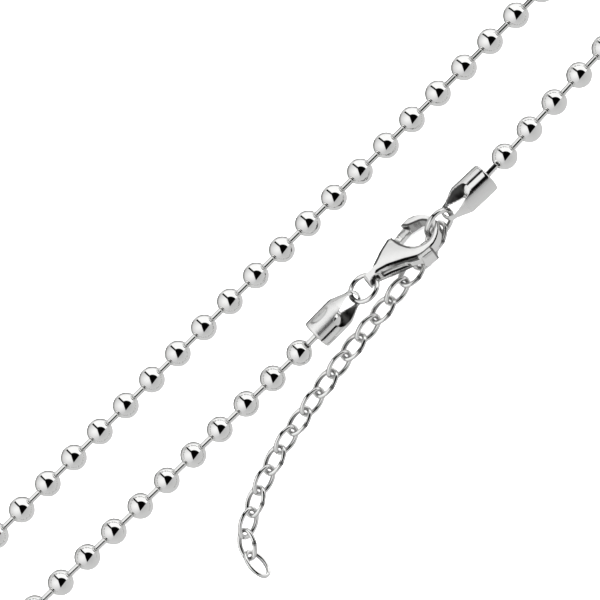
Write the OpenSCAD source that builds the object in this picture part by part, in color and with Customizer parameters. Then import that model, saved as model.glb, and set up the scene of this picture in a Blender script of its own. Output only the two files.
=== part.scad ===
// Ball chain necklace, laid out flat: hollow balls on short headed bars, two folded end caps,
// a lobster clasp on one cap and a short cable chain extender on the other.
// Millimetres. The origin is on the floor, under the middle of the laid out loop, and +X runs
// along the two long strands. The clasp side of the loop lies towards -Y.

/* [Balls] */
// Outside diameter of a ball
ball_d = 3.0; // [2.9:0.05:3.1]
// Sheet thickness of a ball
ball_wall = 0.2; // [0.15:0.05:0.25]
// Distance between the centres of two balls
ball_pitch = 4.18; // [4.1:0.02:4.3]
// Ball pitches from one cap round to the other
pitch_count = 100; // [98:1:102]
// Pitches of these from the left cap's end to the ball that the upper strand is laid by
left_pitch_count = 54; // [53:1:55]

/* [Bars] */
// Diameter of the bar between two balls
bar_d = 0.76; // [0.7:0.02:0.8]
// Diameter of a bar's head, inside the ball
bar_head_d = 1.2; // [1.15:0.05:1.25]
// Thickness of a bar's head
bar_head_t = 0.28; // [0.2:0.02:0.34]
// Distance from a ball's centre to the outside of the head in it
bar_head_reach = 1.0; // [0.9:0.02:1.02]
// Gap all round a bar, in the hole that it passes
bar_play = 0.12; // [0.1:0.01:0.16]
// Ball centre to ball centre, for the longer bar into an end cap
cap_bar_l = 5.1; // [5.0:0.05:5.3]

/* [End caps] */
// Outside diameter of a cap's tube
cap_d = 3.7; // [3.6:0.05:3.8]
// Sheet thickness of a cap
cap_wall = 0.2; // [0.15:0.01:0.22]
// Length of the tube that holds the last ball
cap_tube_l = 3.97; // [3.8:0.05:4.2]
// Length over all, from the mouth to the fold
cap_l = 6.85; // [6.7:0.05:7.1]
// Outside diameter just before the fold
cap_fold_d = 2.16; // [2.1:0.02:2.3]
// Thickness of the folded end
cap_fold_t = 0.25; // [0.2:0.01:0.3]
// Opening of the mouth, that the ball doesn't pass
cap_mouth_d = 1.7; // [1.6:0.05:1.9]
// Width of the slit between a cap's two halves
cap_slit_w = 0.42; // [0.3:0.02:0.5]
// Width of the eye that the ring passes
cap_eye_w = 2.1; // [2.0:0.05:2.3]
// Distance from the mouth to where the slit widens into the eye
cap_eye_start = 2.6; // [2.4:0.1:2.8]
// Depth of the last ball's centre in the left cap
left_ball_depth = 2.35; // [2.2:0.05:2.5]
// Depth of the last ball's centre in the right cap
right_ball_depth = 2.1; // [2.05:0.05:2.3]
// Length of the bare oval stamp on the left cap
stamp_l = 2.5; // [2.2:0.1:2.8]
// Width of the stamp
stamp_w = 1.2; // [1.0:0.1:1.4]
// Depth of the stamp
stamp_depth = 0.06; // [0.04:0.01:0.1]
// Distance from the mouth to the middle of the stamp
stamp_x = 2.0; // [1.8:0.1:2.2]
// Turn of the stamp round the cap, from upright
stamp_turn = -50; // [-56:2:-44]

/* [Rings] */
// Outside diameter of the ring that carries the clasp
clasp_ring_d = 4.05; // [4.0:0.05:4.2]
// Wire of that ring
clasp_ring_wire = 0.6; // [0.55:0.01:0.62]
// Outside diameter of the ring that carries the extender
end_ring_d = 4.24; // [4.2:0.05:4.4]
// Wire of that ring
end_ring_wire = 0.65; // [0.6:0.01:0.66]
// Room left between a ring's wire and the end of the eye that it hangs in
ring_play = 0.38; // [0.36:0.01:0.42]

/* [Clasp] */
// Length over all
clasp_l = 10.6; // [10.5:0.05:10.8]
// Half the thickness at the thickest place
clasp_half_t = 1.3; // [1.25:0.01:1.4]
// Half the thickness of the folded tail
clasp_tail_half_t = 0.85; // [0.82:0.01:0.9]
// Thickness of the metal round the tail's eye
clasp_tail_wall = 0.3; // [0.25:0.01:0.32]
// Radius of the rounded faces, across the clasp
clasp_dome_r = 6; // [5.6:0.1:7]
// Width of the pocket between the two plates
clasp_pocket_w = 1.1; // [1.08:0.01:1.12]
// Thickness of the lever's plate
lever_t = 0.86; // [0.8:0.01:0.88]
// Diameter of the lever's pivot pin
pivot_d = 0.7; // [0.6:0.02:0.74]
// Gap round the pin in the lever's bore
pivot_play = 0.05; // [0.03:0.01:0.07]
// Gap round the pin in the plates
pivot_seat = 0.03; // [0.02:0.01:0.04]
// Thickness of the front face over the pin's end
pivot_cover = 0.2; // [0.15:0.01:0.25]
// Radius of the lever's plate round its bore
lever_hub_r = 0.8; // [0.7:0.02:0.9]
// Distance from the pivot to the tip of the gate
gate_reach = 3.58; // [3.54:0.01:3.6]
// Gap between the gate's tip and the hook's nose
gate_gap = 0.12; // [0.1:0.01:0.14]
// Thickness of the thumb tab
tab_t = 0.7; // [0.6:0.02:0.8]
// Width of the thumb tab, across the clasp's thickness
tab_w = 2.3; // [2.1:0.05:2.4]
// Bevel round the thumb tab's outer face
tab_bevel = 0.3; // [0.2:0.02:0.4]
// Gap between the thumb tab and the clasp's back
tab_gap = 0.14; // [0.12:0.01:0.16]

/* [Extender] */
// Length of a link over all
link_l = 3.95; // [3.9:0.05:4.0]
// Width of a link
link_w = 2.74; // [2.7:0.02:2.8]
// Wire of a link
link_wire = 0.55; // [0.5:0.01:0.56]
// Radius of a link's ends, at the middle of the wire
link_end_r = 0.85; // [0.8:0.01:0.9]

/* [Layout] */
// Distance of the upper strand from the loop's middle line
upper_strand_y = 4.85; // [4.7:0.05:5.2]
// Distance of the left strand's first ball below the middle line
left_ball_y = 4.86; // [4.7:0.02:5.0]
// Lean of the left strand towards the upper one, going outwards
left_lean = 1.1; // [0.8:0.1:1.4]
// Lean of the right strand towards the upper one, going outwards
right_lean = 2.5; // [2.2:0.1:2.8]
// Place along X of the upper strand's reference ball, from the left strand's first ball
reference_x = 6.91; // [6.7:0.05:7.1]
// Radius of the round end of the loop, at the middle of the balls
loop_r = 20; // [19:0.5:21]
// Radius of the bends that lead into the round end
flare_r = 20; // [18:0.5:22]
// Direction of the left cap
left_cap_heading = 0.6; // [0:0.1:1.2]
// Rise of a cap from its mouth to its fold
cap_rise = 4; // [3:0.5:5]
// Turn of the left cap's slit from upright
left_cap_turn = 28; // [24:1:34]
// Direction of the right cap
right_cap_heading = -1.8; // [-2.4:0.2:-1.2]
// Turn of the right cap's slit from upright
right_cap_turn = 30; // [28:1:32]
// Direction of the bar out of the right cap
right_bar_heading = 1.6; // [1:0.1:2.2]
// Direction across the clasp's ring, from the left cap to the clasp
clasp_ring_heading = -2.5; // [-3:0.1:-2]
// Tilt of the clasp's ring about the line of the chain
clasp_ring_tilt = -42; // [-43:0.5:-41]
// Direction of the clasp, from its tail to its hook
clasp_heading = -6.9; // [-7.4:0.1:-6.4]
// Tilt of the clasp about its length, back raised
clasp_tilt = -35; // [-37:1:-33]
// Direction across the extender's ring, from the hook to the right cap
end_ring_heading = 3.3; // [2.9:0.1:3.7]
// Tilt of the extender's ring about the line of the chain
end_ring_tilt = 54.4; // [54:0.1:55]
// Tilt of the extender's links about their length, each way in turn
link_tilt = 40; // [39:0.5:41]

/* [Hidden] */
// Extender links from the ring to the free end: direction, play, tilt as a share of link_tilt,
// and height of the far end as a share of a flat lying link's height
HEADING = 0;
PLAY = 1;
TILT = 2;
FAR_HEIGHT = 3;
extender_route = [
    [199.5, 0.15, 0.965, 0.782], [189.2, 0.55, -0.61, 0.779], [185.9, 0.16, 0.784, 1],
    [187.5, 0.16, -1, 1], [186.5, 0.16, 1, 1], [186, 0.18, -1, 1],
    [187, 0.23, 1, 1], [187, 0.23, -1, 1], [190, 0.23, 1, 1],
    [190, 0.23, -1, 1], [190, 0.23, 1, 1], [191, 0.23, -1, 1],
    [198, 0.23, 1, 1], [198, 0.23, -1, 1], [207, 0.23, 1, 1],
    [207, 0.30, -1, 1], [237, 0.34, 1, 1], [267, 0.20, -1.15, 1.212]];

// Clasp outlines as shares of the clasp's length: along from the tail, then across, where
// plus is towards the gate and minus is towards the back
outer_outline = [
    [0.000, 0.000], [0.137, -0.009], [0.298, 0.073], [0.463, 0.154], [0.509, 0.134],
    [0.684, 0.211], [0.730, 0.222], [0.775, 0.226], [0.828, 0.217], [0.878, 0.197],
    [0.933, 0.153], [0.976, 0.077], [0.994, 0.030], [1.000, -0.019], [0.994, -0.060],
    [0.976, -0.096], [0.954, -0.130], [0.915, -0.175], [0.871, -0.211], [0.820, -0.240],
    [0.766, -0.254], [0.690, -0.258], [0.616, -0.251], [0.500, -0.215], [0.385, -0.172],
    [0.279, -0.132], [0.188, -0.107], [0.099, -0.091], [0.040, -0.107], [0.000, -0.155]];
opening_outline = [
    [0.509, 0.134], [0.523, 0.044], [0.537, 0.000], [0.558, -0.041], [0.580, -0.082],
    [0.611, -0.117], [0.642, -0.141], [0.678, -0.155], [0.716, -0.166], [0.755, -0.169],
    [0.800, -0.162], [0.842, -0.145], [0.874, -0.120], [0.898, -0.090], [0.914, -0.050],
    [0.921, -0.010], [0.918, 0.030], [0.903, 0.067], [0.880, 0.092], [0.850, 0.110],
    [0.808, 0.122], [0.766, 0.129], [0.713, 0.144], [0.684, 0.172]];
gap_outline = [[0.509, 0.100], [0.509, 0.300], [0.760, 0.300], [0.760, 0.100]];
pocket_outline = [
    [0.182, -0.373], [0.182, -0.019], [0.335, 0.055], [0.421, 0.090], [0.455, 0.273],
    [0.603, 0.273], [0.603, -0.081], [0.626, -0.157], [0.686, -0.189], [0.756, -0.197],
    [0.756, -0.373]];
lever_outline = [
    [0.362, 0.019], [0.402, 0.059], [0.451, 0.104], [0.518, 0.144], [0.587, 0.167],
    [0.727, 0.206], [0.766, 0.120], [0.670, 0.096], [0.552, 0.067], [0.507, 0.000],
    [0.524, -0.063], [0.565, -0.120], [0.610, -0.182], [0.676, -0.214], [0.732, -0.222],
    [0.737, -0.300], [0.610, -0.290], [0.498, -0.232], [0.450, -0.180], [0.385, -0.125],
    [0.354, -0.057]];
tab_ends = [0.590, 0.765];
pivot_share = [0.421, -0.057];
tail_eye_across = -0.076;
ring_seat_share = [0.837, -0.068];
first_joint_share = [0.005, -0.621, -0.180];
// Half the clasp's thickness along its length, as shares of its length and of its thickest half
side_shares = [[0.18, 0.81], [0.38, 1.00], [0.60, 0.92], [0.82, 0.56], [1.00, 0.46]];

TAIL_EYE_WEB = 0.35;
BEAD_SHARE = 1.03;
POINTS_PER_QUARTER = 8;
round_steps = 48;
overrun = 1;

ball_r = ball_d / 2;
cap_r = cap_d / 2;
cap_fold_r = cap_fold_d / 2;
clasp_ring_r = (clasp_ring_d - clasp_ring_wire) / 2;
end_ring_r = (end_ring_d - end_ring_wire) / 2;

function along(heading, rise = 0) =
    [cos(rise) * cos(heading), cos(rise) * sin(heading), sin(rise)];
function turned_x(v, angle) =
    [v[0], v[1] * cos(angle) - v[2] * sin(angle), v[1] * sin(angle) + v[2] * cos(angle)];
function turned_y(v, angle) =
    [v[0] * cos(angle) + v[2] * sin(angle), v[1], v[2] * cos(angle) - v[0] * sin(angle)];
function turned_z(v, angle) =
    [v[0] * cos(angle) - v[1] * sin(angle), v[0] * sin(angle) + v[1] * cos(angle), v[2]];
function turned(v, angles) = turned_z(turned_y(turned_x(v, angles[0]), angles[1]), angles[2]);
function heading_of(v) = atan2(v[1], v[0]);
function rise_of(v) = asin(v[2] / norm(v));

// Clasp: half its thickness at a point, which is the thinner of the side view and the dome
function in_clasp(share) = share * clasp_l;
function side_rows() = concat([[clasp_tail_half_t, clasp_tail_half_t]],
    [for (row = side_shares) [row[0] * clasp_l, row[1] * clasp_half_t]]);
function side_half_t(x) = x < clasp_tail_half_t
    ? sqrt(pow(clasp_tail_half_t, 2) - pow(clasp_tail_half_t - x, 2)) : lookup(x, side_rows());
function dome_half_t(y) =
    clasp_half_t - clasp_dome_r + sqrt(pow(clasp_dome_r, 2) - pow(y, 2));
function clasp_half_t_at(p) = min(side_half_t(p[0]), dome_half_t(p[1]));
pivot = in_clasp(pivot_share);

// The findings follow each other from the left strand's first ball, which is at X 0 here
cap_eye_seat = cap_l - cap_fold_t - ring_play;
left_axis = along(left_cap_heading, cap_rise);
left_ball_rise = cap_r + left_ball_depth * sin(cap_rise) - ball_r;
left_last_ball = [0, -left_ball_y, ball_r + left_ball_rise]
    + sqrt(pow(cap_bar_l, 2) - pow(left_ball_rise, 2)) * along(left_cap_heading);
left_mouth = left_last_ball - left_ball_depth * left_axis;
left_ring_seat = left_mouth + (cap_eye_seat - clasp_ring_wire / 2) * left_axis;

clasp_angles = [clasp_tilt, 0, clasp_heading];
clasp_lowest = min([for (share = outer_outline) let (p = in_clasp(share))
    turned([p[0], p[1], -clasp_half_t_at(p)], clasp_angles)[2]]);
ring_bow = pow(tail_eye_across * clasp_l, 2) / (2 * clasp_ring_r);
tail_seat = turned([clasp_tail_wall + ring_play + clasp_ring_wire / 2 + ring_bow * 0.4,
    tail_eye_across * clasp_l, 0], clasp_angles);
clasp_ring_rise = asin((tail_seat[2] - clasp_lowest - left_ring_seat[2]) / (2 * clasp_ring_r));
clasp_ring_axis = along(clasp_ring_heading, clasp_ring_rise);
clasp_ring_centre = left_ring_seat + clasp_ring_r * clasp_ring_axis;
clasp_ring_angles = [clasp_ring_tilt, -clasp_ring_rise, clasp_ring_heading];
clasp_origin = left_ring_seat + 2 * clasp_ring_r * clasp_ring_axis - tail_seat;

hook_seat = clasp_origin + turned(concat(in_clasp(ring_seat_share), [0]), clasp_angles);
right_ring_z = cap_r + (cap_eye_seat - end_ring_wire / 2) * sin(cap_rise);
end_ring_rise = asin((right_ring_z - hook_seat[2]) / (2 * end_ring_r));
end_ring_axis = along(end_ring_heading, end_ring_rise);
end_ring_centre = hook_seat + end_ring_r * end_ring_axis;
end_ring_angles = [end_ring_tilt, -end_ring_rise, end_ring_heading];
right_axis = along(right_cap_heading, -cap_rise);
right_mouth = hook_seat + 2 * end_ring_r * end_ring_axis
    + (cap_eye_seat - end_ring_wire / 2) * right_axis;
right_last_ball = right_mouth - right_ball_depth * right_axis;
right_ball_rise = right_last_ball[2] - ball_r;
right_first_ball = right_last_ball - [0, 0, right_ball_rise]
    + sqrt(pow(cap_bar_l, 2) - pow(right_ball_rise, 2)) * along(right_bar_heading);

// Half the loop: out along the upper strand, round the end and back along the near strand,
// which passes (x, -y) and leans towards the upper one. c is the middle of the round end.
function foot(c, x, y, lean) = cos(lean) * (c - x) + sin(lean) * y;
function offset_of(c, x, y, lean) = cos(lean) * y - sin(lean) * (c - x);
function flare_turn(h) = acos((flare_r + h) / (flare_r + loop_r));
function flare_reach(h) = sqrt(pow(flare_r + loop_r, 2) - pow(flare_r + h, 2));
function end_turn(h, lean) = 180 - lean + flare_turn(upper_strand_y) + flare_turn(h);
function near_straight(c, x, y, lean) =
    foot(c, x, y, lean) - flare_reach(offset_of(c, x, y, lean));
function upper_straight(c, start) = c - start - flare_reach(upper_strand_y);
function bends(h, lean) = (flare_r * (flare_turn(upper_strand_y) + flare_turn(h))
    + loop_r * end_turn(h, lean)) * PI / 180;
function run_length(c, start, x, y, lean) = upper_straight(c, start)
    + bends(offset_of(c, x, y, lean), lean) + near_straight(c, x, y, lean);
function solved(c, target, start, x, y, lean, n) = n == 0 ? c
    : solved(c + (target - run_length(c, start, x, y, lean)) / 2, target, start, x, y, lean, n - 1);

first_guess = pitch_count * ball_pitch / 6;
solving_steps = 12;
left_c = solved(first_guess, left_pitch_count * ball_pitch, -reference_x, 0,
    left_ball_y, left_lean, solving_steps);
right_c = solved(first_guess, (pitch_count - left_pitch_count) * ball_pitch, reference_x,
    right_first_ball[0], -right_first_ball[1], right_lean, solving_steps);
left_h = offset_of(left_c, 0, left_ball_y, left_lean);
right_h = offset_of(right_c, right_first_ball[0], -right_first_ball[1], right_lean);
middle_x = (right_c - left_c) / 2;

// Legs of the whole loop as [length, turn], starting at the left strand's first ball
function arc_leg(r, turn) = [r * abs(turn) * PI / 180, turn];
legs = [
    [near_straight(left_c, 0, left_ball_y, left_lean), 0],
    arc_leg(flare_r, flare_turn(left_h)),
    arc_leg(loop_r, -end_turn(left_h, left_lean)),
    arc_leg(flare_r, flare_turn(upper_strand_y)),
    [upper_straight(left_c, -reference_x) + upper_straight(right_c, reference_x), 0],
    arc_leg(flare_r, flare_turn(upper_strand_y)),
    arc_leg(loop_r, -end_turn(right_h, right_lean)),
    arc_leg(flare_r, flare_turn(right_h)),
    [near_straight(right_c, right_first_ball[0], -right_first_ball[1], right_lean), 0]];
function leg_point(p, heading, leg, s) = leg[1] == 0
    ? p + s * [cos(heading), sin(heading)]
    : let (r = leg[0] * 180 / (PI * leg[1]), h = heading + leg[1] * s / leg[0])
        p + r * [sin(h) - sin(heading), cos(heading) - cos(h)];
function walk(s, p, heading, i = 0) = s <= legs[i][0] || i == len(legs) - 1
    ? leg_point(p, heading, legs[i], s)
    : walk(s - legs[i][0], leg_point(p, heading, legs[i], legs[i][0]), heading + legs[i][1], i + 1);

loop_balls = [for (i = [0:pitch_count])
    concat(walk(i * ball_pitch, [0, -left_ball_y], 180 - left_lean), [ball_r])];
balls = concat([left_last_ball], loop_balls, [right_last_ball]);

// Extender: joints between the links, from the ring to the free end
link_half = [(link_l - link_wire) / 2, (link_w - link_wire) / 2];
link_inside = link_l - 2 * link_wire;
function tilt_of(i) = link_tilt * extender_route[i][TILT];
link_height = link_half[1] * sin(link_tilt) + link_wire / 2;
function pitch_of(i) = link_inside - extender_route[i][PLAY];
first_joint = end_ring_centre + turned(end_ring_r * first_joint_share, end_ring_angles);
function height_before(i) = i == 0 ? first_joint[2]
    : link_height * extender_route[i - 1][FAR_HEIGHT];
function link_rise(i) =
    asin((link_height * extender_route[i][FAR_HEIGHT] - height_before(i)) / pitch_of(i));
function joint(i) = i == 0 ? first_joint : joint(i - 1)
    + pitch_of(i - 1) * along(extender_route[i - 1][HEADING], link_rise(i - 1));

// Moves the layout, which starts at the left strand's first ball, to the part's own origin
module laid_out() {
    translate([-middle_x, 0, 0]) children();
}

// Turns children from +Z to the direction from one point to another
module aimed(from, to) {
    translate(from) rotate([0, 90 - rise_of(to - from), heading_of(to - from)]) children();
}

// One hollow ball, with a hole towards each neighbour that it has
module ball(i) {
    neighbours = [for (j = [i - 1, i + 1]) if (j >= 0 && j < len(balls)) balls[j]];
    difference() {
        translate(balls[i]) rotate_extrude($fn = round_steps) difference() {
            intersection() {
                circle(r = ball_r, $fn = round_steps);
                translate([0, -ball_r]) square([ball_r, ball_d]);
            }
            circle(r = ball_r - ball_wall, $fn = round_steps);
        }
        for (neighbour = neighbours) aimed(balls[i], neighbour)
            cylinder(h = ball_r + overrun, d = bar_d + 2 * bar_play, $fn = round_steps);
    }
}

module chain_balls() {
    color("silver") laid_out() for (i = [0:len(balls) - 1]) ball(i);
}

// One bar with a head at each end, from ball centre to ball centre
module bar(from, to) {
    l = norm(to - from);
    aimed(from, to) rotate_extrude($fn = round_steps) polygon([
        [0, bar_head_reach - bar_head_t],
        [bar_head_d / 2, bar_head_reach - bar_head_t],
        [bar_head_d / 2, bar_head_reach],
        [bar_d / 2, bar_head_reach],
        [bar_d / 2, l - bar_head_reach],
        [bar_head_d / 2, l - bar_head_reach],
        [bar_head_d / 2, l - bar_head_reach + bar_head_t],
        [0, l - bar_head_reach + bar_head_t]]);
}

module chain_bars() {
    color("silver") laid_out() for (i = [0:len(balls) - 2]) bar(balls[i], balls[i + 1]);
}

// A cap's outer or inner surface, as radius and distance from the mouth: tube, taper and fold
function cap_profile(inset, start, end) =
    let (shoulder = cap_l - cap_fold_r)
    concat([[0, start], [cap_r - inset, start], [cap_r - inset, cap_tube_l]],
        [for (i = [0:POINTS_PER_QUARTER]) let (a = 90 * i / POINTS_PER_QUARTER)
            [(cap_fold_r - inset) * cos(a), shoulder + (end - shoulder) * sin(a)]]);

// The slit and the pointed eye, drawn along the cap
function eye_edge(side) =
    let (end = cap_l - cap_fold_t, middle = (cap_eye_start + end) / 2, reach = end - middle)
    [for (i = [-POINTS_PER_QUARTER:POINTS_PER_QUARTER - 1])
        let (a = 90 * i / POINTS_PER_QUARTER)
        [middle + reach * sin(a), side * max(cap_slit_w / 2, cap_eye_w / 2 * sqrt(cos(a)))]];
function reversed(list) = [for (i = [len(list) - 1:-1:0]) list[i]];
function cap_cut() = concat(
    [[-overrun, -cap_slit_w / 2]], eye_edge(-1), [[cap_l - cap_fold_t, 0]],
    reversed(eye_edge(1)), [[-overrun, cap_slit_w / 2]]);

// A cap with its mouth at the origin and its fold towards +X. The slit's plane turns about X
// from upright.
module end_cap(turn) {
    rotate([turn, 0, 0]) difference() {
        rotate([0, 90, 0]) rotate_extrude($fn = round_steps) polygon(cap_profile(0, 0, cap_l));
        rotate([0, 90, 0]) rotate_extrude($fn = round_steps)
            polygon(cap_profile(cap_wall, cap_wall, cap_l - cap_fold_t));
        rotate([0, 90, 0]) translate([0, 0, -overrun])
            cylinder(h = 2 * overrun, d = cap_mouth_d, $fn = round_steps);
        translate([0, 0, -cap_d]) linear_extrude(2 * cap_d) polygon(cap_cut());
    }
}

// The bare oval stamp, a shallow sinking in the round face of the cap
module stamp() {
    rotate([stamp_turn, 0, 0]) intersection() {
        translate([stamp_x, 0, 0]) linear_extrude(cap_d) polygon([for (a = [0:15:345])
            [stamp_l / 2 * cos(a), stamp_w / 2 * sin(a)]]);
        rotate([0, 90, 0]) difference() {
            cylinder(h = cap_tube_l, r = cap_r + overrun, $fn = round_steps);
            cylinder(h = cap_tube_l, r = cap_r - stamp_depth, $fn = round_steps);
        }
    }
}

module end_cap_left() {
    color("silver") laid_out()
        translate(left_mouth) rotate([0, -cap_rise, left_cap_heading]) difference() {
            end_cap(left_cap_turn);
            stamp();
        }
}

module end_cap_right() {
    color("silver") laid_out()
        translate(right_mouth) rotate([0, -cap_rise, right_cap_heading + 180])
            end_cap(right_cap_turn);
}

module ring(r, wire) {
    rotate_extrude($fn = round_steps) translate([r, 0]) circle(d = wire, $fn = round_steps);
}

module clasp_ring() {
    color("silver") laid_out() translate(clasp_ring_centre) rotate(clasp_ring_angles)
        ring(clasp_ring_r, clasp_ring_wire);
}

module extender_ring() {
    color("silver") laid_out() translate(end_ring_centre) rotate(end_ring_angles)
        ring(end_ring_r, end_ring_wire);
}

// Places what is drawn in the clasp's own frame: +X to the hook, +Y to the gate, +Z its face
module in_clasp_frame() {
    laid_out() translate(clasp_origin) rotate(clasp_angles) children();
}

module clasp_plan() {
    difference() {
        polygon(in_clasp(outer_outline));
        polygon(in_clasp(opening_outline));
        intersection() {
            translate(pivot) circle(r = gate_reach + gate_gap, $fn = 2 * round_steps);
            polygon(in_clasp(gap_outline));
        }
    }
}

// The clasp from its back: a round fold at the tail, then the widening sides
module clasp_side() {
    rows = side_rows();
    fold = [for (i = [1:4 * POINTS_PER_QUARTER - 1]) let (a = 270 - 45 * i / POINTS_PER_QUARTER)
        clasp_tail_half_t * [1 + cos(a), sin(a)]];
    polygon(concat(rows, [for (row = reversed(rows)) [row[0], -row[1]]], fold));
}

// One of the two rounded faces, as the cylinder that the clasp is cut to
module clasp_dome(side) {
    translate([-overrun, 0, side * (clasp_half_t - clasp_dome_r)]) rotate([0, 90, 0])
        cylinder(h = clasp_l + 2 * overrun, r = clasp_dome_r, $fn = 4 * round_steps);
}

module tail_eye() {
    eye_r = clasp_tail_half_t - clasp_tail_wall;
    translate([0, clasp_l / 2, 0]) rotate([90, 0, 0]) linear_extrude(clasp_l) {
        translate([clasp_tail_half_t, 0]) circle(r = eye_r, $fn = round_steps);
        translate([clasp_tail_half_t, -eye_r])
            square([in_clasp(pocket_outline[0][0]) - TAIL_EYE_WEB - clasp_tail_half_t,
                2 * eye_r]);
    }
}

module clasp_body() {
    color("silver") in_clasp_frame() difference() {
        intersection() {
            translate([0, 0, -clasp_half_t]) linear_extrude(2 * clasp_half_t) clasp_plan();
            translate([0, clasp_l / 2, 0]) rotate([90, 0, 0]) linear_extrude(clasp_l)
                clasp_side();
            clasp_dome(1);
            clasp_dome(-1);
        }
        translate([0, 0, -clasp_pocket_w / 2]) linear_extrude(clasp_pocket_w)
            polygon(in_clasp(pocket_outline));
        tail_eye();
        translate([pivot[0], pivot[1], -2 * clasp_half_t])
            cylinder(h = 3 * clasp_half_t - pivot_cover, d = pivot_d + 2 * pivot_seat,
                $fn = round_steps);
    }
}

module lever_pivot_pin() {
    color("silver") in_clasp_frame() translate([pivot[0], pivot[1], pivot_cover - clasp_half_t])
        cylinder(h = 2 * (clasp_half_t - pivot_cover) - pivot_seat, d = pivot_d,
            $fn = round_steps);
}

// The thumb tab behind the clasp's back, with its outer face beveled all round
module thumb_tab() {
    back = -min([for (share = outer_outline) share[1]]) * clasp_l;
    start = tab_ends[0] * clasp_l;
    end = tab_ends[1] * clasp_l;
    translate([0, -back - tab_gap, 0]) intersection() {
        translate([0, 0, -tab_w / 2]) linear_extrude(tab_w) polygon([
            [start, 0], [end, 0], [end + tab_bevel / 2, -tab_t / 2],
            [end - tab_bevel / 2, -tab_t], [start + 2 * tab_bevel, -tab_t]]);
        translate([start, 0, 0]) rotate([90, 0, 90]) linear_extrude(end - start + tab_bevel)
            polygon([[0, -tab_w / 2], [0, tab_w / 2], [tab_bevel - tab_t, tab_w / 2],
                [-tab_t, tab_w / 2 - tab_bevel], [-tab_t, tab_bevel - tab_w / 2],
                [tab_bevel - tab_t, -tab_w / 2]]);
    }
}

module clasp_lever() {
    color("gainsboro") in_clasp_frame() difference() {
        union() {
            translate([0, 0, -lever_t / 2]) linear_extrude(lever_t) intersection() {
                union() {
                    polygon(in_clasp(lever_outline));
                    translate(pivot) circle(r = lever_hub_r, $fn = round_steps);
                }
                union() {
                    translate(pivot) circle(r = gate_reach, $fn = 2 * round_steps);
                    translate([0, -clasp_l]) square(clasp_l);
                }
            }
            thumb_tab();
        }
        translate([pivot[0], pivot[1], -clasp_l / 2])
            cylinder(h = clasp_l, d = pivot_d + 2 * pivot_play, $fn = round_steps);
    }
}

// A link lying flat with its length along X: four bends of round wire, each tangent to the
// next, with a small bead of solder at every place where two of them meet
module link() {
    end_x = link_half[0] - link_end_r;
    side_r = (pow(end_x, 2) + pow(link_half[1], 2) - pow(link_end_r, 2))
        / (2 * (link_half[1] - link_end_r));
    end_angle = atan2(side_r - link_half[1], end_x);
    for (turn = [0, 180]) rotate([0, 0, turn]) {
        translate([end_x, 0, 0]) rotate([0, 0, -end_angle])
            rotate_extrude(angle = 2 * end_angle, $fn = round_steps)
                translate([link_end_r, 0]) circle(d = link_wire, $fn = round_steps);
        translate([0, link_half[1] - side_r, 0]) rotate([0, 0, end_angle])
            rotate_extrude(angle = 180 - 2 * end_angle, $fn = 2 * round_steps)
                translate([side_r, 0]) circle(d = link_wire, $fn = round_steps);
        for (side = [-1, 1]) translate([end_x, 0, 0]) rotate([0, 0, side * end_angle])
            translate([link_end_r, 0, 0])
                sphere(d = BEAD_SHARE * link_wire, $fn = round_steps);
    }
}

// The link with that number, the first one being 1
module extender_link(number) {
    i = number - 1;
    color("silver") laid_out() translate(joint(i))
        rotate([0, -link_rise(i), extender_route[i][HEADING]])
            translate([pitch_of(i) / 2, 0, 0]) rotate([tilt_of(i), 0, 0]) link();
}

chain_balls();
chain_bars();
end_cap_left();
end_cap_right();
clasp_ring();
extender_ring();
clasp_body();
lever_pivot_pin();
clasp_lever();
extender_link(1);  // extender_link_01
extender_link(2);  // extender_link_02
extender_link(3);  // extender_link_03
extender_link(4);  // extender_link_04
extender_link(5);  // extender_link_05
extender_link(6);  // extender_link_06
extender_link(7);  // extender_link_07
extender_link(8);  // extender_link_08
extender_link(9);  // extender_link_09
extender_link(10);  // extender_link_10
extender_link(11);  // extender_link_11
extender_link(12);  // extender_link_12
extender_link(13);  // extender_link_13
extender_link(14);  // extender_link_14
extender_link(15);  // extender_link_15
extender_link(16);  // extender_link_16
extender_link(17);  // extender_link_17
extender_link(18);  // extender_link_18
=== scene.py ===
import bmesh
import bpy
import numpy as np
from mathutils import Matrix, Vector
from mathutils.bvhtree import BVHTree


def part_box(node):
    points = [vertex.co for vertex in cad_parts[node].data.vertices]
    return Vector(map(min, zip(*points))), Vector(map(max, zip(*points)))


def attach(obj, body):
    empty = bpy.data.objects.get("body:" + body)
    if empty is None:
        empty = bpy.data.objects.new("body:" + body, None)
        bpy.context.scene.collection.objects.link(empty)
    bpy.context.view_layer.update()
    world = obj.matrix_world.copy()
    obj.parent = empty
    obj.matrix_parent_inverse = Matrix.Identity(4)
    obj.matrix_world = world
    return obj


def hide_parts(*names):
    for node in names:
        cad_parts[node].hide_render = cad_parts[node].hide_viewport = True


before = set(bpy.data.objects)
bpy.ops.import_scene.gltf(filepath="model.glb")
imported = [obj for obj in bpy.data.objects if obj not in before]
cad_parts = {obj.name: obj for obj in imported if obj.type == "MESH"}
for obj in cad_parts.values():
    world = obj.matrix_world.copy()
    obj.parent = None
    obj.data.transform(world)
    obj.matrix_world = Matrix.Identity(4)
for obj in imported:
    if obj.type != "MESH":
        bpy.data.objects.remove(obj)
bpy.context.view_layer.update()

# The table and the light
# The necklace lies on a plain white table and is seen from straight above. Round it is a white
# tent with soft panels and dark shapes, which polished silver mirrors. The silver doesn't mirror
# the table, because the photo's silver shows none.
MM = 0.001
SEEN_FROM, SEEN_WIDTH, SEEN_TURN = (1.045, -0.65), 68.18, -45.0
BALL_HEIGHT = 1.5
LENS, SENSOR = 300.0, 36.0


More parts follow.
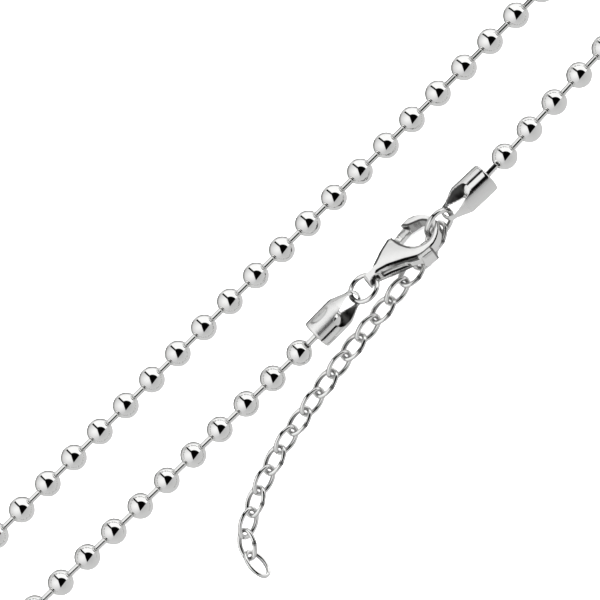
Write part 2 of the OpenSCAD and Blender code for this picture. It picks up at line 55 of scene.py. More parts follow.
def add(tree, kind, sockets=(), **settings):
    """Adds one node, sets its options, and fills its sockets with values or with links."""
    node = tree.nodes.new(kind)
    for key, value in settings.items():
        setattr(node, key, value)
    for key, value in dict(sockets).items():
        if isinstance(value, bpy.types.NodeSocket):
            tree.links.new(value, node.inputs[key])
        else:
            node.inputs[key].default_value = value
    return node


def colour(hexed):
    """sRGB hex to linear RGBA: c / 12.92 below 0.04045, and ((c + 0.055) / 1.055) ** 2.4 above."""
    c = np.array([int(hexed[i:i + 2], 16) for i in (1, 3, 5)]) / 255
    return (*np.where(c <= 0.04045, c / 12.92, ((c + 0.055) / 1.055) ** 2.4).tolist(), 1.0)


camera = bpy.data.objects.new("camera_above", bpy.data.cameras.new("camera_above"))
bpy.context.scene.collection.objects.link(camera)
camera.data.sensor_width, camera.data.lens = SENSOR, LENS
camera.data.clip_start, camera.data.clip_end = 0.01, 5.0
camera.location = (SEEN_FROM[0] * MM, SEEN_FROM[1] * MM,
                   (BALL_HEIGHT + SEEN_WIDTH * LENS / SENSOR) * MM)
camera.rotation_euler = (0, 0, np.radians(SEEN_TURN))
bpy.context.scene.camera = camera
bpy.context.scene.view_settings.view_transform = "Standard"

# The tent is drawn by the half way direction between straight up and the direction looked in:
# seen from above, a ball shows that direction's X and Y as its own disc. Straight down has no
# half way direction, which the last ten thousandth of JUST_UP avoids.
JUST_UP = (0, 0, 1.0001)
TENT_LIGHT = 1.06
world = bpy.data.worlds.new("white_tent")
world.use_nodes = True
bpy.context.scene.world = world
tent = world.node_tree
tent.nodes.clear()
looked = add(tent, "ShaderNodeTexCoord").outputs["Generated"]
turned = add(tent, "ShaderNodeVectorRotate", {"Vector": looked, "Angle": np.radians(-SEEN_TURN)},
             rotation_type="Z_AXIS").outputs[0]
raised = add(tent, "ShaderNodeVectorMath", {0: turned, 1: JUST_UP}, operation="ADD")
halfway = add(tent, "ShaderNodeVectorMath", {0: raised.outputs[0]}, operation="NORMALIZE")
disc = add(tent, "ShaderNodeVectorMath", {0: halfway.outputs[0], 1: (1, 1, 0)},
           operation="MULTIPLY").outputs[0]


def side_of(normal, distance, soft):
    """1 where the disc point lies further along normal than distance, 0 before, over soft."""
    along = add(tent, "ShaderNodeVectorMath", {0: disc, 1: (*normal, 0)},
                operation="DOT_PRODUCT").outputs["Value"]
    return add(tent, "ShaderNodeMapRange", {"Value": along, "From Min": distance - soft,
               "From Max": distance + soft}, interpolation_type="SMOOTHSTEP").outputs[0]


def near_to(point, radius, soft):
    """1 within radius of a disc point, 0 further away, over soft."""
    reach = add(tent, "ShaderNodeVectorMath", {0: disc, 1: (*point, 0)},
                operation="DISTANCE").outputs["Value"]
    return add(tent, "ShaderNodeMapRange", {"Value": reach, "From Min": radius + soft,
               "From Max": radius - soft}, interpolation_type="SMOOTHSTEP").outputs[0]


def far_from(point, radius, soft):
    """1 further than radius from a disc point, 0 nearer, over soft."""
    return add(tent, "ShaderNodeMath", {0: 1.0, 1: near_to(point, radius, soft)},
               operation="SUBTRACT").outputs[0]


def both(a, b):
    """The product of two masks."""
    return add(tent, "ShaderNodeMath", {0: a, 1: b}, operation="MULTIPLY").outputs[0]


def painted(under, over, mask):
    """The colour over, laid on the colour under where the mask is 1."""
    mix = add(tent, "ShaderNodeMix", data_type="RGBA")
    for socket, value in ((mix.inputs[0], mask), (mix.inputs[6], under), (mix.inputs[7], over)):
        if isinstance(value, bpy.types.NodeSocket):
            tent.links.new(value, socket)
        else:
            socket.default_value = value
    return mix.outputs[2]


# The panels and the dark shapes have the places and tones that were fitted to the reflections in
# the photo's balls, from the left panel to the black bar, the black lens and the near panel.
BAR_HALF, BAR_SOFT, SHAPE_SOFT = 0.066, 0.02, 0.018
left_panel = painted(colour("#cacaca"), colour("#f8f8f8"), near_to((-0.36, 0.02), 0.34, 0.34))
upper = side_of((0.64, 0.77), 0.06, 0.05)
sky = painted(left_panel, colour("#ffffff"), upper)
rim = far_from((0.03, -0.03), 0.93, 0.10)
sky = painted(sky, colour("#6a6a6a"), rim)
sky = painted(sky, colour("#2c2c2c"), far_from((0, 0), 0.965, 0.03))
rim_light = both(near_to((-0.66, 0.66), 0.22, 0.16), rim)
sky = painted(sky, colour("#c6c6c6"), rim_light)
bar_start, bar_end = np.array([-0.56, 0.60]), np.array([-0.17, 0.26])
bar_way = (bar_end - bar_start) / np.linalg.norm(bar_end - bar_start)
bar_across = (-bar_way[1], bar_way[0])
bar_middle = float(np.dot(bar_start, bar_across))
bar = both(both(side_of(bar_across, bar_middle - BAR_HALF, BAR_SOFT),
                side_of((-bar_across[0], -bar_across[1]), -bar_middle - BAR_HALF, BAR_SOFT)),
           both(side_of(tuple(bar_way), float(np.dot(bar_start, bar_way)), BAR_SOFT),
                side_of((-bar_way[0], -bar_way[1]), -float(np.dot(bar_end, bar_way)), BAR_SOFT)))
sky = painted(sky, colour("#0e0e0e"), bar)
lens_shade = both(side_of((0.950, 0.312), -0.119, SHAPE_SOFT),
                  near_to((0.061, -0.104), 0.492, SHAPE_SOFT))
sky = painted(sky, colour("#020202"), lens_shade)
near_panel = side_of((0.790, -0.613), 0.228, SHAPE_SOFT)
near_tone = painted(colour("#cbcbcb"), colour("#bcbcbc"), near_to((0.12, -0.10), 0.42, 0.34))
sky = painted(sky, near_tone, near_panel)
glow = add(tent, "ShaderNodeBackground", {"Color": sky, "Strength": TENT_LIGHT})
add(tent, "ShaderNodeOutputWorld", {"Surface": glow.outputs[0]})

# A wide soft lamp that makes the table white. The metal doesn't mirror it.
LAMP_ENERGY, LAMP_ANGLE, TABLE_HALF = 12.0, 170.0, 1.5
lamp = bpy.data.objects.new("table_lamp", bpy.data.lights.new("table_lamp", "SUN"))
bpy.context.scene.collection.objects.link(lamp)
lamp.data.energy, lamp.data.angle = LAMP_ENERGY, np.radians(LAMP_ANGLE)
lamp.visible_glossy = False

table_mesh = bpy.data.meshes.new("table")
table_mesh.from_pydata([(TABLE_HALF * side, TABLE_HALF * end, 0)
                        for side, end in ((-1, -1), (1, -1), (1, 1), (-1, 1))],
                       [], [(0, 1, 2, 3)])
table = bpy.data.objects.new("table", table_mesh)
bpy.context.scene.collection.objects.link(table)
table.visible_glossy = False
white_board = bpy.data.materials.new("matt_white_board")
white_board.use_nodes = True
board = white_board.node_tree.nodes["Principled BSDF"]
board.inputs["Base Color"].default_value = colour("#f6f6f6")
board.inputs["Roughness"].default_value = 0.9
board.inputs["Specular IOR Level"].default_value = 0.0
table_mesh.materials.append(white_board)

# The route of the ball chain
# The balls sit one pitch apart along a loop: two long strands, round ends, and the last ball of
# each end lifted into its cap. The same sizes and steps as the solids, in millimetres, from the
# left strand's first ball.
BALL_R, PITCH, PITCHES, LEFT_PITCHES = 1.5, 4.18, 100, 54
CAP_R, CAP_BAR, CAP_RISE = 1.85, 5.1, 4.0
CAP_L, CAP_FOLD_T, RING_PLAY = 6.85, 0.25, 0.38
LEFT_Y, LEFT_HEADING, LEFT_DEPTH = 4.86, 0.6, 2.35
RIGHT_HEADING, RIGHT_BAR_HEADING, RIGHT_DEPTH = -1.8, 1.6, 2.1


def along(heading, rise=0.0):
    """The unit vector with that heading from +X and that rise above the table, in degrees."""
    h, r = np.radians(heading), np.radians(rise)
    return np.array([np.cos(r) * np.cos(h), np.cos(r) * np.sin(h), np.sin(r)])


def turn_by(angles):
    """The matrix that turns about X, then Y, then Z, by degrees."""
    (cx, cy, cz), (sx, sy, sz) = np.cos(np.radians(angles)), np.sin(np.radians(angles))
    return (np.array([[cz, -sz, 0], [sz, cz, 0], [0, 0, 1]])
            @ np.array([[cy, 0, sy], [0, 1, 0], [-sy, 0, cy]])
            @ np.array([[1, 0, 0], [0, cx, -sx], [0, sx, cx]]))


# The clasp and its two rings, which join the caps. CLASP_LIFT is how high the clasp's own origin
# is above its lowest point, as the solids' source works it out from the clasp's outline. The
# seats in the tail's eye and in the hook are shares of the clasp's length.
CLASP_L = 10.6
CLASP_RING_R, CLASP_RING_WIRE, CLASP_RING_HEADING = 1.725, 0.6, -2.5
END_RING_R, END_RING_WIRE, END_RING_HEADING = 1.795, 0.65, 3.3
CLASP_TURN = (-35.0, 0.0, -6.9)
CLASP_LIFT = 2.03021
TAIL_WALL, TAIL_EYE_ACROSS, RING_BOW_SHARE, HOOK_SEAT = 0.3, -0.076, 0.4, (0.837, -0.068)
eye_seat = CAP_L - CAP_FOLD_T - RING_PLAY
left_axis = along(LEFT_HEADING, CAP_RISE)
left_rise = CAP_R + LEFT_DEPTH * np.sin(np.radians(CAP_RISE)) - BALL_R
left_last = (np.array([0, -LEFT_Y, BALL_R + left_rise])
             + np.sqrt(CAP_BAR ** 2 - left_rise ** 2) * along(LEFT_HEADING))
left_mouth = left_last - LEFT_DEPTH * left_axis
left_seat = left_mouth + (eye_seat - CLASP_RING_WIRE / 2) * left_axis
tail_across = TAIL_EYE_ACROSS * CLASP_L
ring_bow = tail_across ** 2 / (2 * CLASP_RING_R)
tail_seat = turn_by(CLASP_TURN) @ np.array(
    [TAIL_WALL + RING_PLAY + CLASP_RING_WIRE / 2 + RING_BOW_SHARE * ring_bow, tail_across, 0])
ring_rise = np.degrees(np.arcsin((tail_seat[2] + CLASP_LIFT - left_seat[2]) / (2 * CLASP_RING_R)))
ring_axis = along(CLASP_RING_HEADING, ring_rise)
clasp_origin = left_seat + 2 * CLASP_RING_R * ring_axis - tail_seat
hook_seat = clasp_origin + turn_by(CLASP_TURN) @ (CLASP_L * np.array([*HOOK_SEAT, 0]))
right_ring_z = CAP_R + (eye_seat - END_RING_WIRE / 2) * np.sin(np.radians(CAP_RISE))
end_rise = np.degrees(np.arcsin((right_ring_z - hook_seat[2]) / (2 * END_RING_R)))
end_axis = along(END_RING_HEADING, end_rise)
right_axis = along(RIGHT_HEADING, -CAP_RISE)
right_mouth = (hook_seat + 2 * END_RING_R * end_axis
               + (eye_seat - END_RING_WIRE / 2) * right_axis)
right_last = right_mouth - RIGHT_DEPTH * right_axis
right_drop = right_last[2] - BALL_R
right_first = (right_last - [0, 0, right_drop]
               + np.sqrt(CAP_BAR ** 2 - right_drop ** 2) * along(RIGHT_BAR_HEADING))

UPPER_Y, REFERENCE_X, BEND_R = 4.85, 6.91, 20.0
LEFT_LEAN, RIGHT_LEAN = 1.1, 2.5
FIRST_MIDDLE, ROUNDS = 75.0, 12


def strand(start, x, y, lean, length):
    """One half of the loop as [length, turn] legs, out along the upper strand, round the end and
    back along the near one, and the place of the end's middle. That place is moved by half of
    what the run is too short, until the run has the length of its balls."""
    middle = FIRST_MIDDLE
    for _ in range(ROUNDS):
        foot = np.cos(lean) * (middle - x) + np.sin(lean) * y
        offset = np.cos(lean) * y - np.sin(lean) * (middle - x)
        bends = [np.arccos((BEND_R + h) / (2 * BEND_R)) for h in (UPPER_Y, offset)]
        flat = [np.sqrt(4 * BEND_R ** 2 - (BEND_R + h) ** 2) for h in (UPPER_Y, offset)]
        end = np.pi - lean + sum(bends)
        legs = [[middle - start - flat[0], 0.0], [BEND_R * bends[0], bends[0]],
                [BEND_R * end, -end], [BEND_R * bends[1], bends[1]], [foot - flat[1], 0.0]]
        middle += (length - sum(leg[0] for leg in legs)) / 2
    return legs, middle


left_legs, left_middle = strand(-REFERENCE_X, 0, LEFT_Y, np.radians(LEFT_LEAN),
                                LEFT_PITCHES * PITCH)
right_legs, right_middle = strand(REFERENCE_X, right_first[0], -right_first[1],
                                  np.radians(RIGHT_LEAN), (PITCHES - LEFT_PITCHES) * PITCH)
MIDDLE_X = (right_middle - left_middle) / 2
legs = left_legs[:0:-1] + [[left_legs[0][0] + right_legs[0][0], 0.0]] + right_legs[1:]


def walked(distances):
    """Points on the loop at those distances: each leg is a straight run or an arc of its own
    turn, and the next one starts where it ends, with the heading that it ends with."""
    points = np.zeros((len(distances), 2))
    place, heading, done = np.array([0.0, -LEFT_Y]), np.pi - np.radians(LEFT_LEAN), 0.0
    for number, (length, turn) in enumerate(legs):
        s = distances - done
        if turn:
            r = length / turn
            run = place + r * np.stack([np.sin(heading + s / r) - np.sin(heading),
                                        np.cos(heading) - np.cos(heading + s / r)], 1)
            here = r * np.array([np.sin(heading + turn) - np.sin(heading),
                                 np.cos(heading) - np.cos(heading + turn)])
        else:
            run = place + s[:, None] * [np.cos(heading), np.sin(heading)]
            here = length * np.array([np.cos(heading), np.sin(heading)])
        points = np.where((s >= 0)[:, None], run, points)
        place, heading, done = place + here, heading + turn, done + length
    return points


loop = walked(np.arange(PITCHES + 1) * PITCH)
loop = np.hstack([loop, np.full((len(loop), 1), BALL_R)])
centres = np.vstack([left_last, loop, right_last]) - [MIDDLE_X, 0, 0]


# The balls
# A ball is hollow, of thin sheet silver, closed round the heads of two bars and polished to a
# mirror. Each hole has a small raised lip, LIP in radians of the ball and LIP_RISE of that high.
HOLE_R, BALL_WALL, LIP, LIP_RISE = 0.5, 0.2, 0.075, 0.3
AROUND, OUTER_ROWS, INNER_ROWS = 30, 20, 6


def sheet_mesh(name, grids, crease=40.0, dull_and_shade_marks=None):
    """One mesh from grids of points in millimetres, (rows, columns, 3) each: every four
    neighbouring points make a face, points that meet are joined, and faces turn outwards. The
    map holds each point's own row and column lengths, and the attribute dull_and_shade_marks one
    more number a point, for dull metal and painted shade."""
    places, faces, lengths, start = [], [], [], 0
    for grid in grids:
        rows, columns = grid.shape[:2]
        index = start + np.arange(rows * columns).reshape(rows, columns)
        faces.append(np.stack([index[:-1, :-1], index[1:, :-1], index[1:, 1:], index[:-1, 1:]],
                              -1).reshape(-1, 4))
        down = np.cumsum(np.linalg.norm(np.diff(grid, axis=0, prepend=grid[:1]), axis=2), 0)
        over = np.cumsum(np.linalg.norm(np.diff(grid, axis=1, prepend=grid[:, :1]), axis=2), 1)
        lengths.append(np.stack([down, over], -1).reshape(-1, 2))
        places.append(grid.reshape(-1, 3))
        start += rows * columns
    places, faces, lengths = np.vstack(places), np.vstack(faces), np.vstack(lengths)
    mesh = bpy.data.meshes.new(name)
    mesh.vertices.add(len(places))
    mesh.vertices.foreach_set("co", (places * MM).astype(np.float32).ravel())
    mesh.loops.add(faces.size)
    mesh.loops.foreach_set("vertex_index", faces.ravel().astype(np.int32))
    mesh.polygons.add(len(faces))
    mesh.polygons.foreach_set("loop_start", np.arange(0, faces.size, 4, dtype=np.int32))
    mesh.update(calc_edges=True)
    mesh.uv_layers.new(name="lengths").data.foreach_set(
        "uv", lengths[faces.ravel()].astype(np.float32).ravel())
    if dull_and_shade_marks is not None:
        mesh.attributes.new("dull_and_shade_marks", "FLOAT", "POINT").data.foreach_set(
            "value", np.concatenate([m.ravel() for m in dull_and_shade_marks]).astype(np.float32))
    shape = bmesh.new()
    shape.from_mesh(mesh)
    bmesh.ops.remove_doubles(shape, verts=shape.verts, dist=0.0004 * MM)
    bmesh.ops.dissolve_degenerate(shape, dist=0.0002 * MM, edges=shape.edges)
    bmesh.ops.recalc_face_normals(shape, faces=shape.faces)
    shape.to_mesh(mesh)
    shape.free()
    mesh.polygons.foreach_set("use_smooth", np.ones(len(mesh.polygons), bool))
    mesh.set_sharp_from_angle(angle=np.radians(crease))
    return mesh


dressed = []


def shown(name, mesh, material, slot, body, *nodes):
    """Puts a finished mesh in the scene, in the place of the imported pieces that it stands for."""
    piece = bpy.data.objects.new(name, mesh)
    bpy.context.scene.collection.objects.link(piece)
    dressed.append(piece)
    mesh.materials.clear()
    mesh.materials.append(material)
    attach(piece, body)
    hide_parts(*nodes)
    return piece


def ball_grids():
    """Each ball is a profile of rings about its own line, from the hole behind it to the hole
    before it: ring k has the polar angle a and the radius r, so its points are
    r (cos a * line + sin a * round). The line bends a little between the two holes, and the
    profile comes back inside the wall, so the sheet is closed."""
    behind = np.vstack([centres[:1] - centres[1:2], centres[:-1] - centres[1:]])
    ahead = np.vstack([centres[1:] - centres[:-1], centres[-1:] - centres[-2:-1]])
    behind[0], ahead[-1] = -ahead[0], -behind[-1]
    behind /= np.linalg.norm(behind, axis=1)[:, None]
    ahead /= np.linalg.norm(ahead, axis=1)[:, None]
    hole = np.full((len(centres), 2), HOLE_R)
    hole[0, 0] = hole[-1, 1] = 0.001
    inner_r = BALL_R - BALL_WALL
    grids = []
    for centre, back, front, (first, last) in zip(centres, behind, ahead, hole):
        a0, a1 = np.arcsin(first / BALL_R), np.pi - np.arcsin(last / BALL_R)
        b0, b1 = np.arcsin(first / inner_r), np.pi - np.arcsin(last / inner_r)
        lip, lip_last = (LIP if radius == HOLE_R else 0.0 for radius in (first, last))
        polar = np.concatenate([[a0, a0 + lip], np.linspace(a0 + 2 * lip, a1 - 2 * lip_last,
                                OUTER_ROWS), [a1 - lip_last, a1], np.linspace(b1, b0, INNER_ROWS),
                                [a0]])
        radius = np.concatenate([[BALL_R, BALL_R + LIP_RISE * lip], np.full(OUTER_ROWS, BALL_R),
                                 [BALL_R + LIP_RISE * lip_last, BALL_R],
                                 np.full(INNER_ROWS, inner_r), [BALL_R]])
        share = (0.5 - 0.5 * np.cos(polar))[:, None]
        line = (1 - share) * back - share * front
        line /= np.linalg.norm(line, axis=1)[:, None]
        side = np.cross([0, 0, 1.0], line)
        side /= np.linalg.norm(side, axis=1)[:, None]
        up = np.cross(line, side)
        turn = np.linspace(0, 2 * np.pi, AROUND + 1)
        ring = (np.cos(turn)[None, :, None] * side[:, None]
                + np.sin(turn)[None, :, None] * up[:, None])
        grids.append(centre + radius[:, None, None] * (
            np.cos(polar)[:, None, None] * line[:, None] + np.sin(polar)[:, None, None] * ring))
    return grids


TONE_MM, WEAR_MM, DULL_AND_SHADE_ROUGHNESS = 2.5, 0.9, 0.3


def silver(name, tones, dull_and_shade, gloss, grain_mm, grain_depth_mm, streak=None):
    """Polished silver: a metal whose tone changes faintly every TONE_MM, whose roughness lies
    between the two values of gloss and changes every WEAR_MM, and whose relief has a grain of
    grain_mm, drawn out along the piece's map where streak is given. Where the attribute
    dull_and_shade_marks is 1 the metal has the dull_and_shade tone and is rougher by
    DULL_AND_SHADE_ROUGHNESS; it carries the metal's own dull places and solder spots, and also
    painted shade and painted dark reflections. The attribute satin is added to the roughness.
    Both are painted where the photo shows dark lines and softer areas."""
    material = bpy.data.materials.new(name)
    material.use_nodes = True
    tree = material.node_tree
    metal = tree.nodes["Principled BSDF"]
    metal.inputs["Metallic"].default_value = 1.0
    where = add(tree, "ShaderNodeTexCoord").outputs["Object"]
    clouds = add(tree, "ShaderNodeTexNoise", {"Vector": where, "Scale": 1 / (TONE_MM * MM),
                 "Detail": 3.0, "Roughness": 0.6}).outputs[0]
    tone = add(tree, "ShaderNodeValToRGB", {"Fac": clouds})
    tone.color_ramp.elements[0].position, tone.color_ramp.elements[1].position = 0.35, 0.65
    tone.color_ramp.elements[0].color = colour(tones[0])
    tone.color_ramp.elements[1].color = colour(tones[1])
    # Dull metal, painted shade and painted dark reflections all darken the tone here.
    dull_and_shade_at = add(tree, "ShaderNodeAttribute", attribute_name="dull_and_shade_marks").outputs["Fac"]
    base = add(tree, "ShaderNodeMix", {0: dull_and_shade_at, 7: colour(dull_and_shade)}, data_type="RGBA")
    tree.links.new(tone.outputs[0], base.inputs[6])
    tree.links.new(base.outputs[2], metal.inputs["Base Color"])
    worn = add(tree, "ShaderNodeTexNoise", {"Vector": where, "Scale": 1 / (WEAR_MM * MM),
               "Detail": 4.0, "Roughness": 0.65}).outputs[0]
    shine = add(tree, "ShaderNodeMapRange", {"Value": worn, "From Min": 0.35, "From Max": 0.7,
                "To Min": gloss[0], "To Max": gloss[1]}).outputs[0]
    rough = add(tree, "ShaderNodeMath", {0: dull_and_shade_at, 1: DULL_AND_SHADE_ROUGHNESS, 2: shine},
                operation="MULTIPLY_ADD").outputs[0]
    satin = add(tree, "ShaderNodeAttribute", attribute_name="satin").outputs["Fac"]
    rough = add(tree, "ShaderNodeMath", {0: rough, 1: satin}).outputs[0]
    tree.links.new(rough, metal.inputs["Roughness"])
    fineness = 1 / (grain_mm * MM)
    if streak:
        lengths = add(tree, "ShaderNodeUVMap", uv_map="lengths").outputs[0]
        where = add(tree, "ShaderNodeMapping", {"Vector": lengths, "Scale": streak}).outputs[0]
        fineness = 1 / grain_mm
    grain = add(tree, "ShaderNodeTexNoise", {"Vector": where, "Scale": fineness,
                "Detail": 2.0}).outputs[0]
    relief = add(tree, "ShaderNodeBump", {"Height": grain, "Strength": 1.0,
                 "Distance": grain_depth_mm * MM}).outputs[0]
    tree.links.new(relief, metal.inputs["Normal"])
    return material


# Sheet silver, tumbled: as good as a mirror, with an orange peel of 0.7 mm that only just
# moves its reflections.
# Its dark tone #585857 colours the caps' dull insides under painted shade, and the stamp.
tumbled_sheet = silver("tumbled_sheet_silver", ("#f4f4f3", "#f8f8f7"), "#585857",
                       (0.03, 0.06), 0.7, 0.0012)
balls = shown("ball_sheets", sheet_mesh("ball_sheets", ball_grids(), 35), tumbled_sheet,
              "polished_silver", "necklace", "chain_balls")


# The bars
# A bar is a short length of drawn wire with a head upset at each end, loose inside the balls.
BAR_R, HEAD_R, HEAD_REACH, HEAD_T = 0.38, 0.6, 1.0, 0.28
BAR_LEAN = 0.055


def turned_grid(start, end, profile, around):
    """A turned piece on the line from start to end: the profile's (distance, radius) points
    carried round that line."""
    line = (end - start) / np.linalg.norm(end - start)
    side = np.cross([0, 0, 1.0], line)
    side /= np.linalg.norm(side)
    up = np.cross(line, side)
    turn = np.linspace(0, 2 * np.pi, around + 1)
    ring = np.cos(turn)[:, None] * side + np.sin(turn)[:, None] * up
    profile = np.asarray(profile)
    return start + profile[:, :1, None] * line + profile[:, 1:, None] * ring


def bar_profile(length):
    """Half a bar as distance from the ball's centre and radius: a domed head, a small fillet
    under it and the straight bar, then the same mirrored."""
    head = HEAD_REACH - HEAD_T
    half = np.array([[head, 0], [head, 0.62 * HEAD_R], [head + 0.05, 0.88 * HEAD_R],
                     [head + 0.12, HEAD_R], [head + 0.2, HEAD_R], [HEAD_REACH, 0.94 * HEAD_R],
                     [HEAD_REACH, BAR_R + 0.03], [HEAD_REACH + 0.06, BAR_R],
                     [HEAD_REACH + 0.5, BAR_R]])
    return np.vstack([half, [[length / 2, BAR_R]], np.stack([length - half[::-1, 0],
                                                             half[::-1, 1]], 1)])


bar_grids = [turned_grid(a, b, bar_profile(np.linalg.norm(b - a)), 24)
             for a, b in zip(centres[:-1], centres[1:])]
bar_mesh = sheet_mesh("bar_turnings", bar_grids, 50)
# The bars' normals are turned towards -X by BAR_LEAN, away from those of the mesh, which moves
# the tent's reflections on them towards where the photo shows them.
bar_normals = np.empty(len(bar_mesh.vertices) * 3, np.float32)
bar_mesh.vertex_normals.foreach_get("vector", bar_normals)
bar_normals = bar_normals.reshape(-1, 3) - [BAR_LEAN, 0, 0]
bar_normals /= np.linalg.norm(bar_normals, axis=1)[:, None]
bar_mesh.normals_split_custom_set_from_vertices(bar_normals.tolist())
shown("bar_turnings", bar_mesh, tumbled_sheet, "polished_silver", "necklace", "chain_bars")


# The end caps
# A cap is one strip of sheet, folded in the middle and pressed round the last ball, so its two
# halves meet in a slit that widens into the pointed eye that a ring passes. The left one has
# the bare oval of its stamp.
CAP_WALL, CAP_TUBE, FOLD_R, MOUTH_R = 0.2, 3.97, 1.08, 0.85
CORNER_R, BEND_HALF = 0.34, 0.3
LEFT_SLIT_TURN, RIGHT_SLIT_TURN = 28, 30
# The slit is drawn 0.12 mm narrower than in the solid, and the stamp 0.015 mm shallower.
SLIT, EYE_W, EYE_START = 0.3, 2.1, 2.6
STAMP = dict(x=2.0, length=2.5, width=1.2, depth=0.045, turn=-50.0)
# The stamp's oval is a little dull metal; the band round its rim is painted shade.
STAMP_MARKS, STAMP_RIM_SHADE = 0.16, 0.32


def cap_outline(inset, start, end):
    """A cap's skin as distance from the mouth and radius: the mouth's flat ring with a rounded
    corner, the tube, the taper, and a quarter oval over the fold. Inside, all of it is inset."""
    corner = CORNER_R - 0.5 * inset
    r = CAP_R - inset
    quarter = np.radians(np.linspace(0, 90, 9))
    flat = np.stack([np.full(5, start), np.linspace(MOUTH_R, r - corner, 5)], 1)
    bend = np.stack([start + corner * (1 - np.cos(quarter)), r - corner
                     + corner * np.sin(quarter)], 1)[1:]
    tube = np.stack([np.linspace(start + corner, CAP_TUBE - BEND_HALF, 38)[1:],
                     np.full(37, r)], 1)
    shoulder = CAP_L - FOLD_R
    sway = np.linspace(0, 1, 8)[1:]
    slope = (CAP_R - FOLD_R) / (shoulder - CAP_TUBE)
    ease = np.stack([CAP_TUBE - BEND_HALF + 2 * BEND_HALF * sway,
                     r - BEND_HALF * slope * sway ** 2], 1)
    taper = np.stack([np.linspace(CAP_TUBE + BEND_HALF, shoulder, 12)[1:],
                      np.linspace(ease[-1, 1], FOLD_R - inset, 12)[1:]], 1)
    nose = np.radians(np.linspace(0, 90, 15))[1:]
    dome = np.stack([shoulder + (end - shoulder) * np.sin(nose),
                     (FOLD_R - inset) * np.cos(nose)], 1)
    return np.vstack([flat, bend, tube, ease, taper, dome])


def slit_half_width(x):
    """Half the width of the opening between the halves: the slit, then a lens shape with a
    pointed end at the fold, and nothing in the fold itself."""
    end = CAP_L - CAP_FOLD_T
    middle, reach = (EYE_START + end) / 2, (end - EYE_START) / 2
    lens = EYE_W / 2 * (1 - np.clip((x - middle) / reach, -1, 1) ** 2) ** 0.25
    close = np.clip((end - x) / 0.16, 0, 1) ** 0.5
    return np.maximum(SLIT / 2, lens) * close


def cap_grids(mouth, heading, turn, stamped):
    """Both halves of a cap. At distance x a half runs round the skin between the two angles
    where its width is the slit's, outside and inside, and narrow strips close its edges. Gives
    the grids and the dull_and_shade_marks of their points: the inside is dull unpolished metal
    under painted shade, the stamp is a little dull, and its rim has a little painted shade."""
    outside, inside = cap_outline(0, 0, CAP_L), cap_outline(CAP_WALL, CAP_WALL, CAP_L - CAP_FOLD_T)
    across = np.linspace(-1, 1, 61)
    place = turn_by([0, -CAP_RISE, heading]) @ turn_by([turn, 0, 0])

    def skin(outline, half, stamp):
        x, r = outline[:, :1], outline[:, 1:]
        width = np.minimum(slit_half_width(x), 0.999 * np.maximum(r, 1e-9))
        width = np.where(x >= CAP_L - CAP_FOLD_T, 0, width)
        span = np.arccos(np.clip(width / np.maximum(r, 1e-9), 0, 1))
        angle = span * across
        # The inside gets the whole dark tone: dull unpolished metal under painted shade.
        dull_and_shade = 0 * angle + (0 if outline is outside else 1)
        if stamp:
            upright = np.degrees(np.arctan2(half * np.cos(angle), np.sin(angle))) * -1 + turn
            gone = (np.radians(upright - STAMP["turn"]) * CAP_R / (STAMP["width"] / 2)) ** 2
            gone = np.sqrt(gone + ((x - STAMP["x"]) / (STAMP["length"] / 2)) ** 2)
            sunk = np.clip((1.1 - gone) / 0.3, 0, 1)
            sunk = sunk * sunk * (3 - 2 * sunk)
            r = r - STAMP["depth"] * sunk
            # Dull metal in the stamp's oval, and painted shade in a band along its sunk rim.
            dull_and_shade = STAMP_MARKS * sunk + STAMP_RIM_SHADE * np.exp(-((gone - 0.98) / 0.08) ** 2)
        points = np.stack([x + 0 * angle, half * r * np.cos(angle), r * np.sin(angle)], -1)
        return points @ place.T + mouth - [MIDDLE_X, 0, 0], dull_and_shade

    grids, dull_and_shade_marks = [], []
    for half in (1, -1):
        (outer, dull_and_shade), (inner, inside_dull_and_shade) = skin(outside, half, stamped), skin(inside, half, False)
        open_rows = outside[:, 0] < CAP_L - CAP_FOLD_T
        open_inner = inside[:, 0] < CAP_L - CAP_FOLD_T
        rows = min(open_rows.sum() + 1, open_inner.sum() + 1, len(outer))
        grids += [outer, inner, np.stack([outer[0], inner[0]])]
        dull_and_shade_marks += [dull_and_shade, inside_dull_and_shade, np.zeros((2, len(across)))]
        for edge in (0, -1):
            grids.append(np.stack([outer[:rows, edge], inner[:rows, edge]], 1))
            dull_and_shade_marks.append(np.zeros((rows, 2)))
    return grids, dull_and_shade_marks


TURN_HALF, OUTLINE_LEAN = 0.35, 0.35


